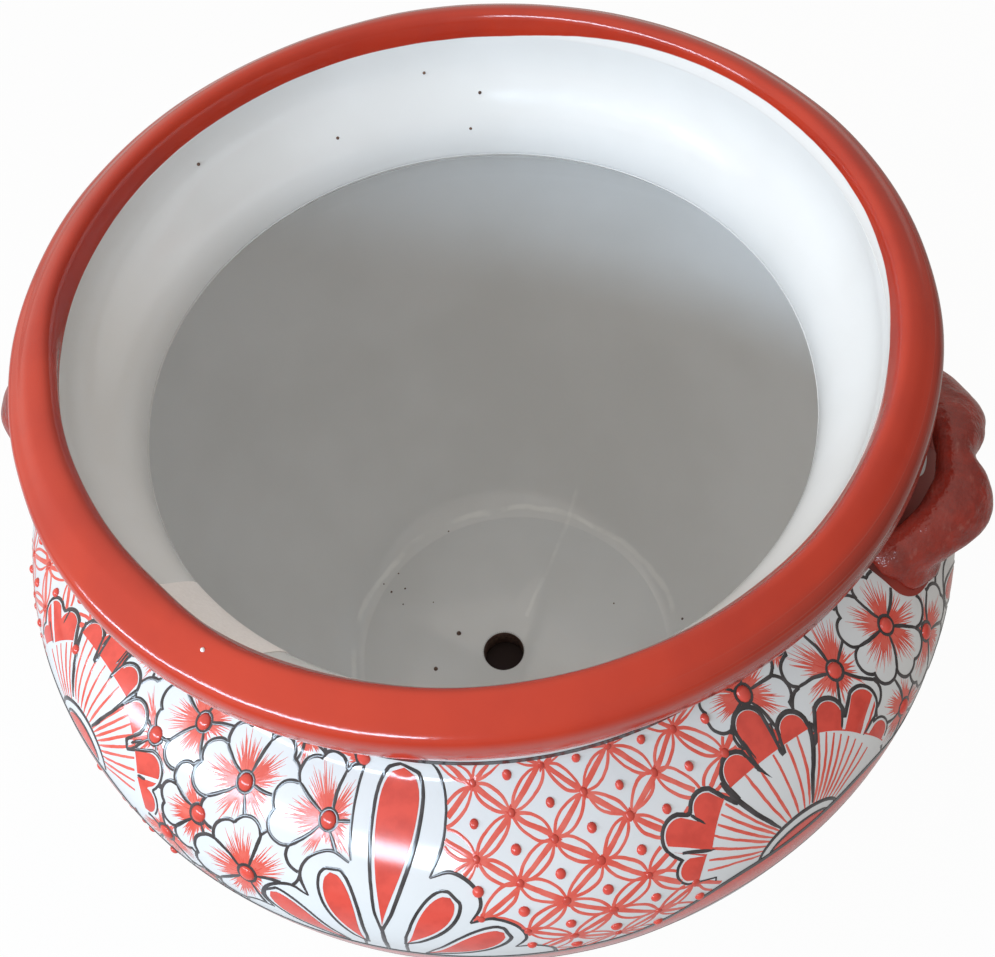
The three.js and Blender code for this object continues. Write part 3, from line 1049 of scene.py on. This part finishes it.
def fan(art, azimuth, rise, look, behind):
    centre = np.array([azimuth * mm_per_degree, rise])
    full = np.arange(-82, 84.1, 1.5)
    art.stroke(art.black, even(spread(centre, full, look.reach(full)), 1.1), 2.1, (0.5, 0.5), behind, 0.06)
    for first, last, from_base, to_base in look.parts:
        way = np.arange(first, last + 0.1, 1.0)
        base = np.interp(way, (first, last), (from_base, to_base))
        outer = spread(centre, way, np.maximum(look.reach(way, 1.6), base + 0.6))
        art.shape(np.vstack([outer, spread(centre, way, base)[::-1]]), 0.14)
    first, last, top = look.middle
    way = np.arange(first, last + 0.1, 1.0)
    outer = spread(centre, way, look.reach(way, 1.6))
    base = centre[1] + top - 0.0038 * (outer[:, 0] - centre[0]) ** 2
    level_part = np.stack([outer[:, 0], base], 1)[outer[:, 1] > base + 0.5][::-1]
    outer = outer[outer[:, 1] > base + 0.5]
    art.shape(np.vstack([outer, level_part[1:-1]]), 0.14)
    for from_way, far, to_way, near in look.notches:
        line = even(spread(centre, np.array([from_way, to_way]), np.array([far, near])), 1)
        art.stroke(art.black, line, 1.6, (0.9, 0.2), behind)
    for line in look.seams:
        art.stroke(art.black, through(centre + np.array(line)), 2.3, (0.9, 0.5), behind)
    wide, tall, _ = look.arches[0]
    for across, foot in look.tops:
        bend = ((across + foot) / 2 * 1.06, (top + tall) / 2)
        line = centre + np.array([(across, top - 0.8), bend, (foot, tall + 0.8)])
        art.stroke(art.wash, through(line), 1.45, (0.7, 0.5), behind)
    for way in look.stripes:
        root = 1 / math.hypot(math.sin(math.radians(way)) / wide, math.cos(math.radians(way)) / tall)
        reaches = np.array([top + 2.5, (top + root) / 2, root + 1.0])
        line = spread(centre, np.array([way, way * 1.01, way * 1.05]), reaches)
        art.stroke(art.wash, through(line), 1.4, (0.7, 0.5), behind)
    arch = np.radians(np.linspace(0, 180, 50))
    for wide, tall, width in look.arches:
        line = centre + np.stack([wide * np.cos(arch), tall * np.sin(arch)], 1)
        art.stroke(art.black, line, width, (0.8, 0.8), behind, 0.05)
    art.shape(centre + np.stack([(wide - 1.2) * np.cos(arch), (tall - 1.0) * np.sin(arch)], 1), 0.14)
    return np.vstack([spread(centre, full, look.reach(full)), centre + (30, -14), centre + (-30, -14)])

# %% [markdown]
# ## Fronds
# The frond is a tall red leaf between two pairs of smaller ones, inside a scalloped
# outline. Each leaf is a drop shape: a point, a width that swells and a round top.

# %% Frond
def drop_ring(tip, top, width, fat=0.62, grow=0.0):
    tip, top = np.asarray(tip, float), np.asarray(top, float)
    axis = top - tip
    length = np.hypot(*axis)
    axis /= length
    side = np.array([-axis[1], axis[0]])
    along = np.linspace(0, 1, 26)
    rounding = np.sqrt(np.maximum(0, 1 - ((along - fat) / (1 - fat)) ** 2))
    half = np.where(along < fat, np.sin(along / fat * np.pi / 2) ** 1.5, rounding)
    half = half * width / 2 + grow * np.minimum(1, along * 6)
    run = tip + axis * (along * (length + grow))[:, None]
    return np.vstack([run + side * half[:, None], (run - side * half[:, None])[-2:0:-1]])


def leaf(art, tip, top, width, behind, fat=0.62, line=1.6):
    art.shape(drop_ring(tip, top, width, fat), 0.14)
    ring = drop_ring(np.asarray(tip) - (np.asarray(top) - tip) * 0.06, top, width, fat, 2.0)
    art.stroke(art.black, even(np.vstack([ring, ring[:1]]), 1.2), line, (0.8, 0.8), behind, 0.06)


# %% Draw a frond
def frond(art, azimuth, behind):
    origin = np.array([azimuth * mm_per_degree, 0.0])
    tall_right = through(origin + np.array([(17, 101), (23.5, 90), (26.2, 80), (25, 65), (19.5, 51)]))
    tall_left = through(origin + np.array([(-14, 101), (-18, 92), (-19.5, 78), (-18.5, 62), (-16.4, 53)]))
    scallops = (((19.5, 51), (29, 53.8), (38.5, 48.5), (41.4, 40), (36.5, 31)),
                ((36.5, 31), (45.8, 33.3), (55.5, 28.5), (59, 20), (54, 12.3)),
                ((54, 12.3), (62.5, 11.6), (69, 6), (70.5, -4)))
    right_edges = [through(origin + np.array(s)) for s in scallops]
    left_edges = [through(origin + np.array(s) * (-0.975, 1.02) + (2.0, 0)) for s in scallops]
    for line in (tall_right, tall_left, *right_edges, *left_edges):
        art.stroke(art.black, line, 1.6, (0.6, 0.5), behind, 0.06)
    leaf(art, origin + (-1.0, 24), origin + (3.4, 93.5), 20.0, behind, 0.80, 1.8)
    small_leaves = (((9.0, 13), (28.5, 43), 0.7), ((-9.5, 8), (-25, 46), 0.7),
                    ((17.5, 2), (50, 24.5), 0.68), ((-19.5, 2), (-51.5, 25), 0.68))
    for tip, top, fat in small_leaves:
        leaf(art, origin + tip, origin + top, 11.5, behind, fat)
    stalks = ((((-0.8, -3), (-0.6, 10), (-1.0, 24)), 1.9), (((-10.5, -3), (-10, 4), (-9.6, 9)), 1.4),
              (((8, -3), (8, 6), (9, 13)), 1.4))
    for line, width in stalks:
        art.stroke(art.black, through(origin + np.array(line)), width, (0.8, 0.6), behind)
    edge = np.vstack([tall_left, *left_edges])[::-1]
    return np.vstack([edge, tall_right, *right_edges])

# %% [markdown]
# ## Composing the belly
# The painter went round the pot with the same four things in the same order: lattice,
# fan, flowers, frond. Two such runs, each a quarter turn, are drawn with their own
# small differences, and the other half of the pot repeats them.

# %% Wavy band that closes the picture below
wave_rise, wave_foot, fan_azimuth, waves_round = 18.5, -2.0, -62, 4


def band_top(x):
    turn = np.radians(waves_round * (np.asarray(x) / mm_per_degree - fan_azimuth))
    return wave_rise * soft_edge((np.cos(turn) - 0.05) / 0.85) + wave_foot


band_half = 11.0
wide_x = np.linspace(-200, 30, 460) * mm_per_degree
band_ring = np.vstack([
    np.stack([wide_x, band_top(wide_x) + 0.6], 1),
    np.array([(wide_x[-1], -60.0), (wide_x[0], -60.0)]),
])
foot_corners = [(-35.4, 90), (-35.5, 70), (-35.5, 57), (-33.8, 48), (-30.2, 42.3), (-27, 37), (-22, 35),
                (-12, 42), (-4, 45), (-2, 60), (-2, 90), (-17, 98), (-33, 97), (-35.4, 90)]
foot_ring = through(np.array(foot_corners) * (mm_per_degree, 1), 2.0)[:-1]

# %% A quarter turn of painting
lattice_cells = [(i, j, -97.3 + 4.47 * i + 4.25 * j) for i in range(-3, 8) for j in range(-3, 6)]


def quarter(frond_azimuth, fan_place, look, more_near, blooms, last_azimuth, slide):
    """Draws frond and fan, then the flowers, each behind the ones before it, and the lattice behind them all."""
    art = Drawing()
    frond_ring = frond(art, frond_azimuth, [band_ring])
    near = [band_ring, frond_ring, fan(art, *fan_place, look, [band_ring]), *more_near]
    for place, reach, turn in blooms:
        near.append(flower(art, (place[0] * mm_per_degree, place[1]), reach, turn, list(near)))
    lattice(art, [(i, j) for i, j, azimuth in lattice_cells if -103 < azimuth < last_azimuth], slide, 0, near)
    return art, near


# %% Two quarter turns of painting, with each flower's place, reach and turn
left_blooms = (((-114.3, 66.5), 28, 8), ((-122.2, 29.5), 27, 10), ((-125.3, 67.5), 27, 5), ((-129.3, 44.5), 22, 18),
               ((-133.8, 79), 27, 18), ((-133, 21.5), 22, 30), ((-125.5, 8), 24, 14), ((-138.6, 60.5), 27, 25),
               ((-111.5, 95), 22, 12), ((-119.5, 98), 22, 40), ((-144.5, 88), 26, 3))
right_blooms = (((-61, 87.5), 25, 355), ((-40.2, 57.8), 27, 18), ((-49.5, 67), 29, 18), ((-36.4, 33.5), 24, 30),
                ((-44.6, 21.5), 22, 12), ((-42.5, 88), 22, 0), ((-30, 62), 24, 20), ((-26, 88), 24, 0),
                ((-53.5, 94), 20, 40))
left_art, left_near = quarter(-107.0, (-148.7, 20.0), side_fan, [], left_blooms, -62, 0)
right_art, right_near = quarter(-17.5, (-62.7, 15.0), front_fan, [foot_ring], right_blooms, -58, 104.3)
shift = np.array([-180 * mm_per_degree, 0])
fan_and_flowers = [ring for ring in right_near[2:] if ring is not foot_ring]
far_near = [ring - shift for ring in left_near[2:]]


# %% Cut each quarter's lattice where the next quarter covers it
def hide_behind(art, rings):
    """Cuts the lattice strokes of one quarter where the next quarter's shapes cover them."""
    for name in ("wash", "red"):
        cut = [(line[a:b], widths[a:b]) for line, widths in getattr(art, name) for a, b in seen_runs(line, rings)]
        setattr(art, name, cut)
    for name in ("blobs", "knots"):
        setattr(art, name, [bead for bead in getattr(art, name) if not hidden(bead[:2], rings)])


hide_behind(left_art, fan_and_flowers)
hide_behind(right_art, far_near)
print("strokes", [len(a.black) + len(a.red) + len(a.wash) for a in (left_art, right_art)])

# %% Lay both quarters on the pot, and again on the far side
def both_sides(piece, material):
    twin = in_scene(piece.name.replace("front", "back"), piece.data.copy())
    twin.data.transform(Matrix.Rotation(math.pi, 4, "Z"))
    for side in (piece, twin):
        out_of_round(side)
        dress(side, material)


right_foot = shapes_mesh("handle_right_ground", [(foot_ring, 0.38)])
left_foot = shapes_mesh("handle_left_ground", [((foot_ring * (-1, 1) + (147 * mm_per_degree, 0))[::-1], 0.38)])
spot_corners = [(-18.5, 60), (-16.9, 60), (-15, 57.6), (-13.9, 54.4), (-15.5, 54.6), (-17.5, 57), (-18.5, 60)]
spot_ring = through(np.array(spot_corners) * (mm_per_degree, 1))
spot = shapes_mesh("handle_gap_spot", [(spot_ring[:-1], 0.5)])
for piece, material in ((right_foot, foot_red_and_painted_shade), (left_foot, foot_red_and_painted_shade), (spot, white)):
    out_of_round(piece)
    dress(piece, material)
for side, art in (("left", left_art), ("right", right_art)):
    both_sides(shapes_mesh(f"front_{side}_red_shapes", art.shapes), paint_red)
    both_sides(lines_mesh(f"front_{side}_wash_strokes", art.wash, 0.13, 0.02), paint_wash)
    both_sides(lines_mesh(f"front_{side}_red_strokes", art.red, 0.16, 0.03), paint_red)
    both_sides(lines_mesh(f"front_{side}_black_lines", art.black, 0.26, 0.05), paint_black)
    both_sides(blobs_mesh(f"front_{side}_blobs", art.blobs), paint_red)
    both_sides(blobs_mesh(f"front_{side}_knots", art.knots), paint_knot)

# %% [markdown]
# ## Bands round the pot
# Bands close the pattern: a black line under the rim, a wavy red band with black
# edges below the fans, and plain bands lower down. Each is a grid that is as long as
# the pot is round, shaped by its wave, thickened and bent like the strokes.

# %% Bands
def band(name, middle, half, material, lift=0.2, rows=3):
    start_clean()
    bpy.ops.mesh.primitive_grid_add(x_subdivisions=turns, y_subdivisions=rows, size=1)
    piece = bpy.context.object
    piece.name = name
    spots = places_of(piece)
    x = spots[:, 0] * 360 * mm_per_degree
    put_back(piece, np.stack([x, middle(x) + spots[:, 1] * 2 * half, np.full(len(x), lift)], 1))
    apply_modifier(piece, "SOLIDIFY", thickness=lift + 0.25, offset=-1)
    wrap(piece)
    edit_all()
    bpy.ops.mesh.remove_doubles(threshold=0.00001)
    bpy.ops.object.mode_set(mode="OBJECT")
    out_of_round(piece)
    smooth(piece)
    return dress(piece, material)


def level(rise):
    return lambda x: np.full(len(x), float(rise))


band("neck_line", level(99.8), 1.5, paint_black, 0.3)
band("wave_band", lambda x: band_top(x) - band_half, band_half, paint_red, 0.22, 8)
band("wave_top_line", band_top, 1.3, paint_black, 0.3)
band("wave_low_line", lambda x: band_top(x) - 2 * band_half, 1.0, paint_black, 0.3)
band("foot_band", level(-128), 5.5, paint_red, 0.22)
band("foot_line", level(-121.5), 0.9, paint_black, 0.3)

# %% Drops below the band, which no picture shows
low_art = Drawing()
for k in range(12):
    middle = np.array([(15 * k - 180) * mm_per_degree, 0.0])
    leaf(low_art, middle + (0, -88), middle + (0, -47), 15.0, ())
    swag = [(-31, -52), (-25, -76), (-10, -96), (0, -100), (10, -96), (25, -76), (31, -52)]
    low_art.stroke(low_art.black, through(middle + np.array(swag)), 1.75)
    low_art.bead(low_art.blobs, middle + (31.2, -90), 2.6, 1.4)
both_sides(shapes_mesh("front_low_drops", low_art.shapes), paint_red)
both_sides(lines_mesh("front_low_lines", low_art.black, 0.26, 0.05), paint_black)
both_sides(blobs_mesh("front_low_blobs", low_art.blobs), paint_red)

# %% [markdown]
# ## Specks
# Iron in the clay burns through the white as dark brown specks, and one chip of the
# rim's red glaze shows white. Each is a small bead, mostly sunk into the wall.

# %% Iron specks and the chip, as azimuth, radius, height and size
specks = [
    (-205.3, 41.9, 18.0, 1.7), (-173.6, 57.0, 18.0, 1.5), (1.2, 119.0, 23.0, 1.2), (-289.7, 112.4, 18.6, 1.0),
    (-225.5, 173.7, 374.7, 0.9), (-277.7, 167.3, 359.9, 0.9), (-275.5, 159.4, 343.4, 0.9),
    (-268.3, 172.7, 371.6, 0.8), (-250.4, 163.6, 353.1, 0.9), (-214.9, 101.4, 18.0, 0.8),
    (-219, 94, 18.0, 0.7), (-211.8, 88.8, 18.0, 0.6), (-223.2, 105.5, 18.0, 0.6), (-216.4, 109.6, 18.4, 0.6),
    (-201.3, 112.5, 18.9, 0.8), (18, 78, 18.0, 0.6), (-20, 62, 18.0, 0.5), (110, 108, 18.2, 0.6),
    (140, 70, 18.0, 0.5),
]


def around(azimuth, distance, height):
    turn = math.radians(azimuth + front_turn)
    return Vector((distance * math.cos(turn), distance * math.sin(turn), height))


def speck(name, spots, material):
    balls = [(around(azimuth, radius, height) / 1000, (size / 1000,) * 3) for azimuth, radius, height, size in spots]
    piece = gather(name, balls, bpy.ops.mesh.primitive_ico_sphere_add, subdivisions=2)
    smooth(piece, 80)
    return dress(piece, material)


speck("iron_specks", specks, clay)
speck("rim_chip", [(-125.7, 185.6, 399.0, 0.9)], white)

# %% [markdown]
# ## Floor and light
# A big pale floor, made white for the camera only, keeps the pot's own soft shadow.
# Under the pot it is painted dark, a painted shade, so that the drain hole looks deep.
# One long soft lamp stands to the front and left, where the real light came in low, and
# gives the bright line on the rim and the belly. The rest is a pale sky, a little
# brighter on that side.

# %% Floor
start_clean()
bpy.ops.mesh.primitive_plane_add(size=12, location=(0, 0, 0))
ground = bpy.context.object
ground.name = "ground"
pale = Finish("pale_floor", (0.55, 0.55, 0.55), 0.9)
seen = pale.node("ShaderNodeLightPath", output="Is Camera Ray")
painted_shade_under_pot = pale.reach() < 0.11
# painted shade: the floor's colour is dark under the pot
pale.colour(pale.blend(painted_shade_under_pot, (0.55, 0.55, 0.55, 1), (0.035, 0.02, 0.018, 1)))
glow = pale.node("ShaderNodeEmission", inputs={"Color": (1, 1, 1, 1), "Strength": 1.0})
whiteness = seen * (1 - painted_shade_under_pot) * 0.96
surface = pale.node("ShaderNodeMixShader", inputs={0: whiteness, 1: Wire(pale.shader.outputs[0]), 2: glow})
feed(pale.tree.nodes["Material Output"].inputs["Surface"], surface)
ground.data.materials.append(pale.material)

# %% Lamps
sky = bpy.data.worlds.new("studio")
bpy.context.scene.world = sky
sky.use_nodes = True
sky_light = sky.node_tree.nodes["Background"]
sky_light.inputs["Color"].default_value = (1.0, 0.94, 0.865, 1)
way = Wire(sky.node_tree.nodes.new("ShaderNodeTexCoord").outputs["Generated"])
lean = sky.node_tree.nodes.new("ShaderNodeVectorMath")
lean.operation = "DOT_PRODUCT"
feed(lean.inputs[0], way)
lean.inputs[1].default_value = (-0.42, -0.07, 0.35)
sky_level = 0.64
feed(sky_light.inputs["Strength"], Wire(lean.outputs["Value"]) + sky_level)


def lamp(name, place, aimed_at, size, radiance, colour):
    light = bpy.data.lights.new(name, "AREA")
    light.shape = "RECTANGLE"
    light.size, light.size_y = size
    light.energy = radiance * math.pi * size[0] * size[1]
    light.color = colour
    holder = in_scene(name, light)
    holder.location = place
    holder.rotation_mode = "QUATERNION"
    holder.rotation_quaternion = (Vector(place) - Vector(aimed_at)).to_track_quat("Z", "Y")
    return holder


strip_foot = around(-115, 0.806, 0.762)
along_strip = around(155, 1.0, 0.0)
middle = strip_foot + along_strip * 0.62
lit_place = Vector((0, 0, 0.35))
strip_size, strip_radiance, strip_colour = (1.50, 0.08), 32.0, (0.66, 0.83, 1.0)
strip = lamp("window_strip", middle, lit_place, strip_size, strip_radiance, strip_colour)
toward = lit_place - strip_foot
toward = (toward - along_strip * toward.dot(along_strip)).normalized()
strip.rotation_quaternion = Matrix((along_strip, (-toward).cross(along_strip), -toward)).transposed().to_quaternion()
bpy.context.scene.view_settings.view_transform = "Standard"
